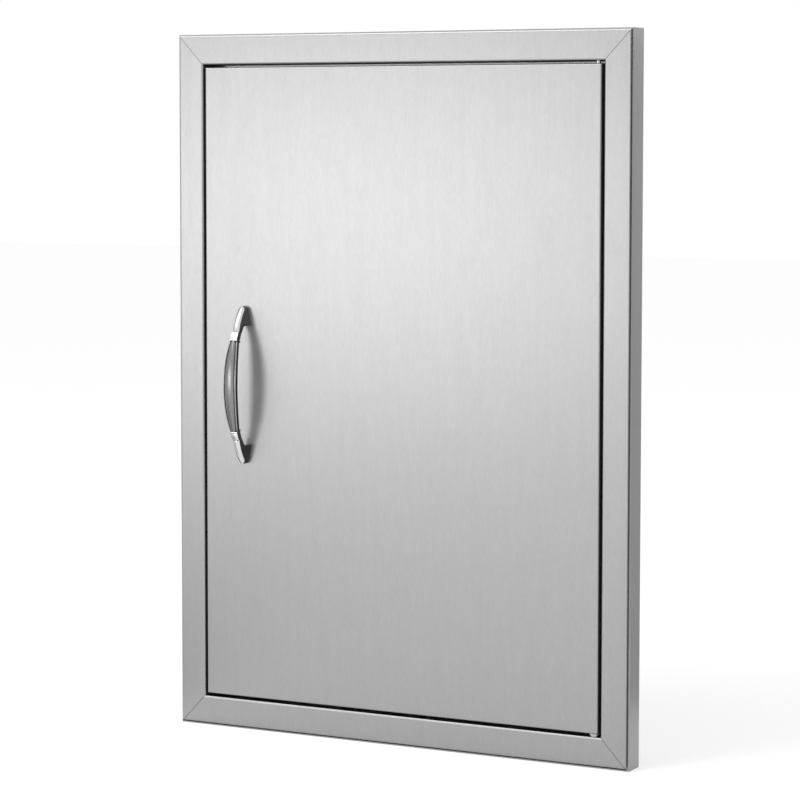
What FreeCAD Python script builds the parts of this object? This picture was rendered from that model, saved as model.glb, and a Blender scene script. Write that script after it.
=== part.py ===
"""Access door for a built-in outdoor kitchen: a mitred stainless frame and a hinged double-skin door.

X runs along the wall, with the hinge side at +X. Y runs into the wall, and Z is up. Each piece is built
with Y as the depth behind the frame's front face and Z as the height above the frame's lower edge. At the
end all pieces are moved so that the origin lies on the wall plane, in the middle of the lower rear lip.
"""
import FreeCAD, Part
import math
import os

Vec = FreeCAD.Vector
X_AXIS = Vec(1, 0, 0)
Y_AXIS = Vec(0, 1, 0)
Z_AXIS = Vec(0, 0, 1)

# Frame, overall sizes and folded section
frame_width = 431.8
frame_height = 609.6
frame_depth = 24.0
stile_face = 25.0
rail_face = 26.3
rail_lip = 10.0
frame_sheet = 1.0
outer_bend = 2.5
inner_bend = 2.0
step_bend = 1.5
stop_width = 10.0
sleeve_depth = 50.0
hem_length = 6.0
hem_gap = 0.2
stop_clearance = 2.6
mitre_groove_half_width = 0.2
mitre_groove_depth = 0.3

# Screw holes that hold the sleeve in the wall
sleeve_hole = 5.0
sleeve_hole_depth = 40.0
stile_hole_spacing = 400.0
rail_hole_spacing = 220.0

# Corner gussets
gusset_leg = 70.0
gusset_width = 15.5
gusset_sheet = 1.5
gusset_inset = 3.2

# Door
door_gap = 2.4
door_depth = 20.0
door_sheet = 0.8
door_bend = 1.3
door_lip = 10.0
panel_sheet = 0.8
panel_inset = 2.0
panel_corner = 4.0
stiffener_spacing = 124.0
stiffener_crown = 30.0
stiffener_flange = 10.0
stiffener_back_gap = 3.4
stiffener_end_gap = 25.0

# Pivots
pivot_from_side = 4.8
pivot_from_front = 5.2
pin_diameter = 4.0
pin_clearance = 0.05
pin_engagement = 8.5
bush_diameter = 6.4
bush_length = 8.0
bush_flange = 9.0
bush_flange_height = 0.6
inner_flange = 7.6
pin_flange_diameter = 8.0
pin_flange_height = 0.8
pivot_plate_sheet = 2.0
pivot_plate_length = 30.0
pivot_plate_depth = 16.0
nut_across_flats = 7.0
nut_height = 3.2
hinge_plate_length = 36.0
hinge_plate_sheet = 2.5
seat_clearance = 0.05
washer_clearance = 0.1

# Spring bolt of the upper pivot
bolt_reach = 6.9
bolt_travel = 8.0
bolt_bend = 5.0
bolt_leg = 34.0
bolt_below_bracket = 11.0
bracket_sheet = 1.5
bracket_gap = 26.0
bracket_width = 14.0
bracket_back_gap = 1.9
clip_height = 0.7
clip_diameter = 7.2
groove_depth = 0.5
clip_gap_angle = 90.0
spring_wire = 0.5
spring_diameter = 4.9
spring_turns = 7
knob_diameter = 8.0
knob_length = 12.0

# Magnetic catch
housing_width = 15.0
housing_height = 36.0
housing_depth = 14.1
ear_sheet = 2.5
ear_height = 54.0
ear_depth = 10.0
magnet_width = 5.0
magnet_depth = 9.0
magnet_height = 32.0
pole_sheet = 1.5
pole_proud = 0.6
pole_gap = 0.1
catch_screw_diameter = 3.5
catch_screw_spacing = 45.0
catch_screw_length = 5.5
strike_sheet = 1.2
strike_width = 14.0
strike_height = 64.0
strike_rivet_spacing = 52.0
bumper_diameter = 6.0
bumper_gap = 0.3
bumper_from_end = 60.0

# Blind rivets
rivet_diameter = 3.2
rivet_head = 6.0
rivet_head_height = 1.2
rivet_tail = 4.6
rivet_tail_height = 2.2
side_rivet_count = 4
side_rivet_from_end = 51.1
end_rivet_from_side = 98.5

# Handle
handle_inset = 40.0
handle_projection = 28.3
handle_thickness = 6.0
handle_arc_radius = 109.0
grip_half_length = 39.8
grip_half_width = 6.3
grip_end_half_width = 3.5
grip_edge_radius = 1.4
collar_length = 8.2
collar_proud = 0.4
collar_half_width = 3.6
collar_edge_radius = 0.8
post_half_length = 69.1
post_foot_length = 17.2
post_foot_half_width = 6.2
post_tip_radius = 3.5
post_ridge_half_width = 3.0
post_tip_height = 5.2
post_shoulder_height = 12.2
post_shoulder_from_tip = 9.5
post_inner_height = 9.5
handle_screw_spacing = 122.0
handle_screw_diameter = 4.0
handle_screw_engagement = 7.0
handle_screw_head = 8.0
handle_screw_head_height = 2.5
lock_washer_diameter = 7.4
lock_washer_sheet = 1.0
backing_sheet = 2.0
backing_width = 24.0
backing_length = 156.0
tenon_diameter = 2.6
tenon_length = 12.0

# Derived places
half_width = frame_width / 2
mitre_slope = rail_face / stile_face
stile_lip = rail_lip / mitre_slope
opening_side = half_width - stile_face
opening_bottom = rail_face
opening_top = frame_height - rail_face
door_side = opening_side - door_gap
door_bottom = opening_bottom + door_gap
door_top = opening_top - door_gap
door_middle = (door_bottom + door_top) / 2
pan_depth = door_depth - panel_sheet
stop_depth = door_depth + stop_clearance
pole_front = door_depth + strike_sheet + pole_gap
housing_front = pole_front + pole_proud
housing_back = housing_front + housing_depth
pivot_x = door_side - pivot_from_side
sleeve_side = opening_side - stop_width
handle_x = -door_side + handle_inset
handle_z = door_middle
reach = frame_width

nodes = {}


def block(low, high):
    """A box between two opposite corners."""
    size = Vec(*high) - Vec(*low)
    return Part.makeBox(size.x, size.y, size.z, Vec(*low))


def rod(radius, start, direction, length):
    """A round bar from a start point along a direction."""
    return Part.makeCylinder(radius, length, start, direction)


def round_edges(shape):
    """The circular edges of a shape."""
    return [edge for edge in shape.Edges if isinstance(edge.Curve, Part.Circle)]


def mirrored_x(shape):
    """The same shape on the other side of the middle of the width."""
    return shape.mirror(Vec(0, 0, 0), X_AXIS)


def mirrored_z(shape, height):
    """The same shape turned over about a level."""
    return shape.mirror(Vec(0, 0, height), Z_AXIS)


def folded_section(corners, bends, thickness, place):
    """The closed face of a folded sheet, from the corners and bend radii of its middle line.

    place turns a pair of section coordinates into a point of the model.
    """
    points = [Vec(a, b, 0) for a, b in corners]
    sides = []
    for side in (1, -1):
        offset = side * thickness / 2
        pieces = []
        way = (points[1] - points[0]).normalize()
        here = points[0] + Vec(-way.y, way.x, 0) * offset
        for index, bend in enumerate(bends):
            corner = points[index + 1]
            before = (corner - points[index]).normalize()
            after = (points[index + 2] - corner).normalize()
            turn = 1.0 if before.x * after.y - before.y * after.x > 0 else -1.0
            left_before = Vec(-before.y, before.x, 0)
            left_after = Vec(-after.y, after.x, 0)
            setback = bend * math.tan(before.getAngle(after) / 2)
            centre = corner - before * setback + left_before * (bend * turn)
            radius = bend - turn * offset
            arc_start = centre - left_before * (turn * radius)
            arc_end = centre - left_after * (turn * radius)
            arc_middle = centre - (left_before + left_after).normalize() * (turn * radius)
            if (arc_start - here).Length > 1e-4:
                pieces.append((here, arc_start))
            pieces.append((arc_start, arc_middle, arc_end))
            here = arc_end
        way = (points[-1] - points[-2]).normalize()
        pieces.append((here, points[-1] + Vec(-way.y, way.x, 0) * offset))
        sides.append(pieces)
    outline = list(sides[0])
    outline.append((sides[0][-1][-1], sides[1][-1][-1]))
    outline += [tuple(reversed(piece)) for piece in reversed(sides[1])]
    outline.append((sides[1][0][0], sides[0][0][0]))
    edges = []
    for piece in outline:
        ends = [place(point.x, point.y) for point in piece]
        if len(ends) == 2:
            edges.append(Part.LineSegment(*ends).toShape())
        else:
            edges.append(Part.Arc(*ends).toShape())
    return Part.Face(Part.Wire(edges))


def frame_section(scale, place):
    """Rear lip, outer return, face, jamb, stop and hemmed sleeve of one frame member.

    scale stretches the widths, so that rails and stiles of unlike widths meet on the mitre.
    """
    half = frame_sheet / 2
    face = stile_face * scale
    sleeve = (stile_face + stop_width) * scale
    hem = sleeve - frame_sheet - hem_gap
    corners = [
        (stile_lip * scale, frame_depth - half),
        (half, frame_depth - half),
        (half, half),
        (face - half, half),
        (face - half, stop_depth + half),
        (sleeve - half, stop_depth + half),
        (sleeve - half, sleeve_depth - half),
        (hem - half, sleeve_depth - half),
        (hem - half, sleeve_depth - hem_length),
    ]
    hem_bend = (frame_sheet + hem_gap) / 2
    bends = [
        step_bend - half,
        outer_bend - half,
        inner_bend - half,
        step_bend - half,
        step_bend - half,
        hem_bend,
        hem_bend,
    ]
    return folded_section(corners, bends, frame_sheet, place)


def mitre_prism(corners):
    """A prism through the whole depth that cuts a member to its mitres, from corners in X and Z."""
    points = [Vec(x, -reach, z) for x, z in corners]
    outline = Part.makePolygon(points + [points[0]])
    return Part.Face(outline).extrude(Vec(0, 2 * reach, 0))


def sleeve_holes(middle, offset, direction):
    """Two clearance holes through the sleeve wall, on both sides of a middle point."""
    length = 4 * frame_sheet
    holes = []
    for sign in (-1, 1):
        start = middle + offset * sign - direction * (length / 2)
        holes.append(rod(sleeve_hole / 2, start, direction, length))
    return Part.makeCompound(holes)


def mitre_groove():
    """A V-shaped cutter along the seam of the lower left mitre, in the face."""
    way = Vec(stile_face, 0, rail_face).normalize()
    across = Vec(way.z, 0, -way.x) * (2 * mitre_groove_half_width)
    start = Vec(-half_width, 0, 0) - way * stile_lip
    lift = Vec(0, -mitre_groove_depth, 0)
    outline = Part.makePolygon([
        start + lift + across,
        start - lift,
        start + lift - across,
        start + lift + across,
    ])
    return Part.Face(outline).extrude(way * (frame_depth + stile_face + rail_face))


def left_stile():
    """The left stile before its catch holes."""
    section = frame_section(1.0, lambda a, b: Vec(-half_width + a, b, 0))
    blank = section.extrude(Vec(0, 0, frame_height))
    inner = -half_width + 2 * stile_face
    prism = mitre_prism([
        (-half_width, 0),
        (-half_width, frame_height),
        (inner, frame_height - 2 * rail_face),
        (inner, 2 * rail_face),
    ])
    middle = Vec(-sleeve_side, sleeve_hole_depth, frame_height / 2)
    holes = sleeve_holes(middle, Vec(0, 0, stile_hole_spacing / 2), X_AXIS)
    groove = mitre_groove()
    grooves = Part.makeCompound([groove, mirrored_z(groove, frame_height / 2)])
    return blank.common(prism).cut(holes).cut(grooves)


def bottom_rail():
    """The bottom rail before its pivot hole."""
    section = frame_section(mitre_slope, lambda a, b: Vec(-half_width, b, a))
    blank = section.extrude(Vec(frame_width, 0, 0))
    prism = mitre_prism([
        (-half_width, 0),
        (half_width, 0),
        (half_width - 2 * stile_face, 2 * rail_face),
        (-half_width + 2 * stile_face, 2 * rail_face),
    ])
    middle = Vec(0, sleeve_hole_depth, rail_face + stop_width * mitre_slope)
    holes = sleeve_holes(middle, Vec(rail_hole_spacing / 2, 0, 0), Z_AXIS)
    groove = mitre_groove()
    grooves = Part.makeCompound([groove, mirrored_x(groove)])
    return blank.common(prism).cut(holes).cut(grooves)


def pivot_hole(radius, low, high):
    """A hole on the pivot axis between two levels."""
    return rod(radius, Vec(pivot_x, pivot_from_front, low), Z_AXIS, high - low)


def build_frame_members():
    """Four mitred members, with the holes for the pivots and the catch."""
    stile = left_stile()
    rail = bottom_rail()
    upper_rail = mirrored_z(rail, frame_height / 2)
    wall = frame_sheet + 2 * pin_clearance
    pin_hole = pivot_hole(pin_diameter / 2 + pin_clearance, opening_bottom - wall, opening_bottom + wall)
    bush_hole = pivot_hole(bush_diameter / 2 + seat_clearance, opening_top - wall, opening_top + wall)
    nodes["frame_bottom_rail"] = rail.cut(pin_hole)
    nodes["frame_top_rail"] = upper_rail.cut(bush_hole)
    nodes["frame_right_stile"] = mirrored_x(stile)
    catch_holes = [
        rod(
            catch_screw_diameter / 2 + seat_clearance,
            Vec(-sleeve_side - 2 * frame_sheet, catch_screw_depth(), door_middle + offset),
            X_AXIS,
            3 * frame_sheet,
        )
        for offset in (-catch_screw_spacing / 2, catch_screw_spacing / 2)
    ]
    nodes["frame_left_stile"] = stile.cut(Part.makeCompound(catch_holes))


def build_corner_gussets():
    """Flat L plates that lie against the back of the face across each mitre."""
    inner = gusset_inset + gusset_width
    corners = [
        (gusset_inset, gusset_inset),
        (gusset_leg, gusset_inset),
        (gusset_leg, inner),
        (inner, inner),
        (inner, gusset_leg),
        (gusset_inset, gusset_leg),
    ]
    points = [Vec(-half_width + a, frame_sheet, b) for a, b in corners]
    plate = Part.Face(Part.makePolygon(points + [points[0]])).extrude(Vec(0, gusset_sheet, 0))
    left_pair = [plate, mirrored_z(plate, frame_height / 2)]
    nodes["frame_corner_gussets"] = Part.makeCompound(left_pair + [mirrored_x(shape) for shape in left_pair])


def pivot_plate(low, hole_radius):
    """A backing plate on the channel side of a rail's jamb, drilled on the pivot axis."""
    front = inner_bend + 0.5
    left = pivot_x - pivot_plate_length + bush_diameter
    plate = block(
        (left, front, low),
        (left + pivot_plate_length, front + pivot_plate_depth, low + pivot_plate_sheet),
    )
    return plate.cut(pivot_hole(hole_radius, low - 1, low + pivot_plate_sheet + 1))


def build_frame_pivots():
    """Backing plates, lower pin with nut and washer, and the upper bush."""
    lower_plate_bottom = opening_bottom - frame_sheet - pivot_plate_sheet
    upper_plate_bottom = opening_top + frame_sheet
    nodes["pivot_backing_plates"] = Part.makeCompound([
        pivot_plate(lower_plate_bottom, pin_diameter / 2 + pin_clearance),
        pivot_plate(upper_plate_bottom, bush_diameter / 2 + seat_clearance),
    ])
    flange_top = opening_bottom + pin_flange_height
    pin_bottom = lower_plate_bottom - nut_height - 1.0
    pin_top = door_bottom + pin_engagement
    pin = pivot_hole(pin_diameter / 2, pin_bottom, pin_top)
    tip = [edge for edge in pin.Edges if abs(edge.BoundBox.ZMin - pin_top) < 1e-6]
    pin = pin.makeChamfer(0.6, tip)
    flange = pivot_hole(pin_flange_diameter / 2, opening_bottom, flange_top)
    nodes["lower_pivot_pin"] = pin.fuse(flange).removeSplitter()
    corner = nut_across_flats / math.sqrt(3)
    points = [
        Vec(
            pivot_x + corner * math.cos(math.radians(60 * step)),
            pivot_from_front + corner * math.sin(math.radians(60 * step)),
            lower_plate_bottom - nut_height,
        )
        for step in range(6)
    ]
    hexagon = Part.Face(Part.makePolygon(points + [points[0]])).extrude(Vec(0, 0, nut_height))
    bore = pivot_hole(pin_diameter / 2 + pin_clearance, pin_bottom, lower_plate_bottom + 1)
    nodes["lower_pivot_nut"] = hexagon.cut(bore)
    washer_top = door_bottom - bush_flange_height - washer_clearance
    washer = pivot_hole(bush_flange / 2, flange_top, washer_top)
    washer_bore = pivot_hole(pin_diameter / 2 + pin_clearance, flange_top - 1, washer_top + 1)
    nodes["lower_thrust_washer"] = washer.cut(washer_bore)
    plate_top = upper_plate_bottom + pivot_plate_sheet
    body = pivot_hole(bush_diameter / 2, opening_top, plate_top)
    flange = pivot_hole(inner_flange / 2, plate_top, plate_top + bush_flange_height)
    bore = pivot_hole(pin_diameter / 2 + pin_clearance, opening_top - 1, plate_top + 2)
    nodes["upper_pivot_bush"] = body.fuse(flange).cut(bore).removeSplitter()


def catch_screw_depth():
    """Depth of the catch's screws, in the middle of the housing's ears."""
    return (housing_front + housing_back) / 2


def build_catch():
    """Magnetic catch on the left sleeve: housing with two ears, magnet between two pole plates, screws."""
    left = -sleeve_side
    middle = (housing_front + housing_back) / 2
    ears = block(
        (left, middle - ear_depth / 2, door_middle - ear_height / 2),
        (left + ear_sheet, middle + ear_depth / 2, door_middle + ear_height / 2),
    )
    body = block(
        (left, housing_front, door_middle - housing_height / 2),
        (left + housing_width, housing_back, door_middle + housing_height / 2),
    )
    stack = magnet_width + 2 * pole_sheet
    stack_left = left + (housing_width - stack) / 2
    pole_back = pole_front + magnet_depth + pole_sheet
    pocket = block(
        (stack_left - seat_clearance, housing_front - 1, door_middle - magnet_height / 2 - seat_clearance),
        (stack_left + stack + seat_clearance, pole_back, door_middle + magnet_height / 2 + seat_clearance),
    )
    housing = body.fuse(ears).cut(pocket)
    low = door_middle - magnet_height / 2
    high = door_middle + magnet_height / 2
    poles = [
        block((start, pole_front, low), (start + pole_sheet, pole_back, high))
        for start in (stack_left, stack_left + stack - pole_sheet)
    ]
    magnet_left = stack_left + pole_sheet
    magnet_front = pole_back - magnet_depth
    nodes["catch_magnet"] = block(
        (magnet_left, magnet_front, low), (magnet_left + magnet_width, pole_back, high)
    )
    nodes["catch_pole_plates"] = Part.makeCompound(poles)
    screws = []
    head_face = left + ear_sheet
    for offset in (-catch_screw_spacing / 2, catch_screw_spacing / 2):
        seat = Vec(head_face, catch_screw_depth(), door_middle + offset)
        hole_radius = catch_screw_diameter / 2 + seat_clearance
        hole = rod(hole_radius, seat + X_AXIS, -X_AXIS, catch_screw_length)
        housing = housing.cut(hole)
        shank = rod(catch_screw_diameter / 2, seat, -X_AXIS, catch_screw_length)
        head = rod(catch_screw_diameter * 0.95, seat, X_AXIS, 2.0)
        rim = [edge for edge in head.Edges if abs(edge.BoundBox.XMin - seat.x - 2.0) < 1e-6]
        screws.append(head.makeFillet(1.0, rim).fuse(shank).removeSplitter())
    nodes["catch_housing"] = housing.removeSplitter()
    nodes["catch_screws"] = Part.makeCompound(screws)


def build_bumpers():
    """Rubber buttons on the stop, two on the left stile and one on each rail."""
    stop_x = -opening_side + stop_width / 2 + 0.3
    stop_z = stop_width * mitre_slope / 2
    places = [
        (stop_x, door_bottom + bumper_from_end),
        (stop_x, door_top - bumper_from_end),
        (0.0, opening_bottom + stop_z),
        (0.0, opening_top - stop_z),
    ]
    height = stop_depth - door_depth - bumper_gap
    buttons = []
    for x, z in places:
        button = rod(bumper_diameter / 2, Vec(x, stop_depth, z), -Y_AXIS, height)
        rim = [edge for edge in button.Edges if abs(edge.BoundBox.YMax - stop_depth + height) < 1e-6]
        buttons.append(button.makeFillet(height / 4, rim))
    nodes["door_bumpers"] = Part.makeCompound(buttons)


def rivet_places():
    """Centres in X and Z of the blind rivets round the door's lips."""
    side = door_side - door_lip / 2
    low = door_bottom + side_rivet_from_end
    pitch = (door_top - side_rivet_from_end - low) / (side_rivet_count - 1)
    places = [(sign * side, low + pitch * step) for sign in (-1, 1) for step in range(side_rivet_count)]
    end = door_lip / 2
    offset = door_side - end_rivet_from_side
    places += [(sign * offset, level) for sign in (-1, 1) for level in (door_bottom + end, door_top - end)]
    return places


def handle_screw_levels():
    """Heights of the two handle screws."""
    return (handle_z - handle_screw_spacing / 2, handle_z + handle_screw_spacing / 2)


def bolt_leg_way():
    """Direction of the bolt's leg: backwards and towards the doorway."""
    return Vec(-0.6, 0.8, 0)


def bolt_leg_level():
    """Height of the bolt's leg with the bolt out."""
    bracket_bottom = door_top - door_sheet - 2 * bracket_sheet - bracket_gap
    return bracket_bottom - bolt_below_bracket


def bolt_leg_slot():
    """Upright slot with round ends for the bolt's leg, through the back panel and what lies behind it."""
    way = bolt_leg_way()
    middle = pivot_x + way.x / way.y * (door_depth - panel_sheet / 2 - pivot_from_front)
    half = pin_diameter / 2 / way.y + 1.0
    slot = block(
        (middle - half, pan_depth - 1, bolt_leg_level() - bolt_travel - half),
        (middle + half, door_depth + 1, bolt_leg_level() + half),
    )
    corners = [edge for edge in slot.Edges if edge.BoundBox.YLength > 1]
    return slot.makeFillet(half * 0.8, corners)


def build_door_pan():
    """Front skin folded back on four sides, with lips turned in behind."""
    outer = block((-door_side, 0, door_bottom), (door_side, pan_depth, door_top))
    front_edges = [edge for edge in outer.Edges if edge.BoundBox.YMax < 1e-6]
    outer = outer.makeFillet(door_bend, front_edges)
    wall = door_sheet
    inner = block(
        (-door_side + wall, wall, door_bottom + wall),
        (door_side - wall, pan_depth - wall, door_top - wall),
    )
    inner_edges = [edge for edge in inner.Edges if edge.BoundBox.YMax < wall + 1e-6]
    inner = inner.makeFillet(door_bend - wall, inner_edges)
    mouth = block(
        (-door_side + door_lip, wall * 2, door_bottom + door_lip),
        (door_side - door_lip, pan_depth + 1, door_top - door_lip),
    )
    holes = [pivot_hole(bush_diameter / 2 + seat_clearance, door_bottom - 1, door_bottom + 2 * wall)]
    holes.append(pivot_hole(bush_diameter / 2 + seat_clearance, door_top - 2 * wall, door_top + 1))
    for level in handle_screw_levels():
        holes.append(rod(handle_screw_diameter / 2 + 0.2, Vec(handle_x, -1, level), Y_AXIS, 3))
    for x, z in rivet_places():
        holes.append(rod(rivet_diameter / 2 + seat_clearance, Vec(x, pan_depth - 2, z), Y_AXIS, 4))
    pan = outer.cut(inner).cut(mouth).cut(Part.makeCompound(holes))
    nodes["door_front_pan"] = pan.cut(bolt_leg_slot())


def build_back_panel():
    """Flat inner skin, riveted to the lips, with a slot for the bolt's leg."""
    side = door_side - panel_inset
    low = door_bottom + panel_inset
    high = door_top - panel_inset
    panel = block((-side, pan_depth, low), (side, door_depth, high))
    corners = [edge for edge in panel.Edges if edge.BoundBox.YLength > panel_sheet / 2]
    panel = panel.makeFillet(panel_corner, corners)
    holes = [
        rod(rivet_diameter / 2 + seat_clearance, Vec(x, pan_depth - 1, z), Y_AXIS, 3)
        for x, z in rivet_places()
    ]
    for x, z in strike_rivet_places():
        holes.append(rod(rivet_diameter / 2 + seat_clearance, Vec(x, pan_depth - 1, z), Y_AXIS, 3))
    nodes["door_back_panel"] = panel.cut(Part.makeCompound(holes)).cut(bolt_leg_slot())


def build_stiffeners():
    """Two upright hat channels behind the front skin."""
    half = door_sheet / 2
    base = door_sheet + half
    crown = pan_depth - stiffener_back_gap - half
    half_crown = stiffener_crown / 2 - half
    foot = stiffener_crown / 2 + stiffener_flange
    corners = [(-foot, base), (-half_crown, base), (-half_crown, crown), (half_crown, crown)]
    corners += [(half_crown, base), (foot, base)]
    length = door_top - door_bottom - 2 * stiffener_end_gap
    channels = []
    for centre in (-stiffener_spacing / 2, stiffener_spacing / 2):
        face = folded_section(
            corners,
            [1.2] * 4,
            door_sheet,
            lambda a, b: Vec(centre + a, b, door_bottom + stiffener_end_gap),
        )
        channels.append(face.extrude(Vec(0, 0, length)))
    nodes["door_stiffeners"] = Part.makeCompound(channels)


def blind_rivet(x, z, head_depth, grip):
    """A set rivet: domed head behind the sheet, shank, and the bulb that forms inside."""
    head_radius = rivet_head / 2
    dome = (head_radius ** 2 + rivet_head_height ** 2) / (2 * rivet_head_height)
    centre = Vec(x, head_depth + rivet_head_height - dome, z)
    ball = Part.makeSphere(dome, centre)
    head = ball.common(rod(head_radius + 1, Vec(x, head_depth, z), Y_AXIS, rivet_head_height + 1))
    shank = rod(rivet_diameter / 2, Vec(x, head_depth - grip, z), Y_AXIS, grip)
    tail = rod(rivet_tail / 2, Vec(x, head_depth - grip - rivet_tail_height, z), Y_AXIS, rivet_tail_height)
    return head.fuse([shank, tail]).removeSplitter()


def build_back_rivets():
    """The rivets that hold the back panel to the pan's lips."""
    grip = panel_sheet + door_sheet
    nodes["back_panel_rivets"] = Part.makeCompound(
        [blind_rivet(x, z, door_depth, grip) for x, z in rivet_places()]
    )


def strike_centre_x():
    """Middle of the strike plate, in line with the catch."""
    return -sleeve_side + housing_width / 2


def strike_rivet_places():
    """Centres in X and Z of the strike plate's two rivets."""
    half = strike_rivet_spacing / 2
    return [(strike_centre_x(), door_middle + offset) for offset in (-half, half)]


def build_strike():
    """Magnetic steel plate on the back panel, held by two rivets."""
    centre = strike_centre_x()
    plate = block(
        (centre - strike_width / 2, door_depth, door_middle - strike_height / 2),
        (centre + strike_width / 2, door_depth + strike_sheet, door_middle + strike_height / 2),
    )
    corners = [edge for edge in plate.Edges if edge.BoundBox.YLength > strike_sheet / 2]
    plate = plate.makeFillet(2.0, corners)
    for x, z in strike_rivet_places():
        plate = plate.cut(rod(rivet_diameter / 2 + seat_clearance, Vec(x, door_depth - 1, z), Y_AXIS, 4))
    nodes["catch_strike_plate"] = plate
    grip = panel_sheet + strike_sheet
    nodes["strike_rivets"] = Part.makeCompound(
        [blind_rivet(x, z, door_depth + strike_sheet, grip) for x, z in strike_rivet_places()]
    )


def build_lower_hinge():
    """Reinforcing plate inside the door's lower corner and the bush that turns on the pin."""
    low = door_bottom + door_sheet
    right = door_side - door_sheet - 0.2
    plate = block(
        (right - hinge_plate_length, door_bend + 0.2, low),
        (right, pan_depth - door_sheet - 0.5, low + hinge_plate_sheet),
    )
    hole = pivot_hole(bush_diameter / 2 + seat_clearance, low - 1, low + hinge_plate_sheet + 1)
    nodes["lower_hinge_plate"] = plate.cut(hole)
    body = pivot_hole(bush_diameter / 2, door_bottom, door_bottom + bush_length)
    flange = pivot_hole(bush_flange / 2, door_bottom - bush_flange_height, door_bottom)
    bore = pivot_hole(
        pin_diameter / 2 + pin_clearance, door_bottom - 2, door_bottom + bush_length + 1
    )
    nodes["lower_pivot_bush"] = body.fuse(flange).cut(bore).removeSplitter()


def build_upper_hinge():
    """U bracket and guide bush that carry the spring bolt in the door's upper corner."""
    top = door_top - door_sheet
    right = door_side - door_sheet - 0.2
    left = right - bracket_width
    front = door_bend + 0.2
    half = bracket_sheet / 2
    web = pan_depth - door_sheet - bracket_back_gap - half
    bottom = top - 2 * bracket_sheet - bracket_gap
    corners = [(front, top - half), (web, top - half), (web, bottom + half), (front, bottom + half)]
    face = folded_section(
        corners,
        [bracket_sheet] * 2,
        bracket_sheet,
        lambda a, b: Vec(left, a, b),
    )
    bracket = face.extrude(Vec(bracket_width, 0, 0))
    guide_hole = pivot_hole(bush_diameter / 2 + seat_clearance, top - bracket_sheet - 1, top + 1)
    lower_hole = pivot_hole(pin_diameter / 2 + pin_clearance, bottom - 1, bottom + bracket_sheet + 1)
    nodes["upper_hinge_bracket"] = bracket.cut(guide_hole).cut(lower_hole)
    flange_top = top - bracket_sheet
    body = pivot_hole(bush_diameter / 2, flange_top, door_top)
    flange = pivot_hole(inner_flange / 2, flange_top - bush_flange_height, flange_top)
    bore = pivot_hole(pin_diameter / 2 + pin_clearance, flange_top - 2, door_top + 1)
    nodes["bolt_guide_bush"] = body.fuse(flange).cut(bore).removeSplitter()
    return flange_top - bush_flange_height, bottom + bracket_sheet


def build_hinge_bolt(stop_level, spring_seat):
    """Bent rod with a clip groove, its clip, its spring and the knob on its leg."""
    tip = door_top + bolt_reach
    level = bolt_leg_level()
    radius = pin_diameter / 2
    way = bolt_leg_way()
    axis_point = Vec(pivot_x, pivot_from_front, 0)
    bend_start = axis_point + Vec(0, 0, level + bolt_bend)
    bend_end = axis_point + way * bolt_bend + Vec(0, 0, level)
    bend_centre = axis_point + way * bolt_bend + Vec(0, 0, level + bolt_bend)
    bend_middle = bend_centre - (way + Z_AXIS).normalize() * bolt_bend
    leg_end = axis_point + way * bolt_leg + Vec(0, 0, level)
    path = Part.Wire([
        Part.LineSegment(axis_point + Vec(0, 0, tip), bend_start).toShape(),
        Part.Arc(bend_start, bend_middle, bend_end).toShape(),
        Part.LineSegment(bend_end, leg_end).toShape(),
    ])
    circle = Part.Wire([Part.makeCircle(radius, axis_point + Vec(0, 0, tip), Z_AXIS)])
    bolt = path.makePipeShell([circle], True, True)
    tip_edges = [edge for edge in bolt.Edges if edge.BoundBox.ZMin > tip - 1e-4]
    bolt = bolt.makeChamfer(0.7, tip_edges)
    clip_top = stop_level - washer_clearance
    clip_bottom = clip_top - clip_height
    groove_radius = radius - groove_depth
    core = pivot_hole(groove_radius, clip_bottom, clip_top)
    nodes["hinge_bolt"] = bolt.cut(pivot_hole(radius + 1, clip_bottom, clip_top).cut(core))
    ring = pivot_hole(clip_diameter / 2, clip_bottom, clip_top)
    ring = ring.cut(pivot_hole(groove_radius + pin_clearance, clip_bottom - 1, clip_top + 1))
    mouth_half = groove_radius * math.sin(math.radians(clip_gap_angle / 2))
    mouth = block(
        (pivot_x - mouth_half, pivot_from_front, clip_bottom - 1),
        (pivot_x + mouth_half, pivot_from_front + clip_diameter, clip_top + 1),
    )
    nodes["bolt_retaining_clip"] = ring.cut(mouth)
    knob_start = leg_end - way * (knob_length - 2.0)
    knob = rod(knob_diameter / 2, knob_start, way, knob_length)
    knob = knob.makeFillet(1.5, round_edges(knob))
    nodes["bolt_knob"] = knob.cut(rod(radius + seat_clearance, knob_start - way, way, knob_length - 1.0))
    build_bolt_spring(spring_seat + washer_clearance, clip_bottom - washer_clearance)


def arc_from(start, way, end):
    """The arc from a start point along a direction to an end point."""
    chord = end - start
    side = (chord - way * chord.dot(way)).normalize()
    centre = start + side * (chord.dot(chord) / (2 * chord.dot(side)))
    middle = centre + ((start + end) * 0.5 - centre).normalize() * (start - centre).Length
    return Part.Arc(start, middle, end).toShape()


def tangent_arcs(points, ways):
    """A wire of two arcs between each pair of neighbouring points, tangent to the direction at each."""
    edges = []
    for index in range(len(points) - 1):
        start, end = points[index], points[index + 1]
        leave, arrive = ways[index], ways[index + 1]
        chord = end - start
        a = 2 * (1 - leave.dot(arrive))
        b = 2 * chord.dot(leave + arrive)
        reach_out = (math.sqrt(b * b + 4 * a * chord.dot(chord)) - b) / (2 * a)
        first = start + leave * reach_out
        second = end - arrive * reach_out
        middle = (first + second) * 0.5
        edges.append(arc_from(start, leave, middle))
        edges.append(arc_from(middle, (second - first).normalize(), end))
    return Part.Wire(edges)


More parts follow.
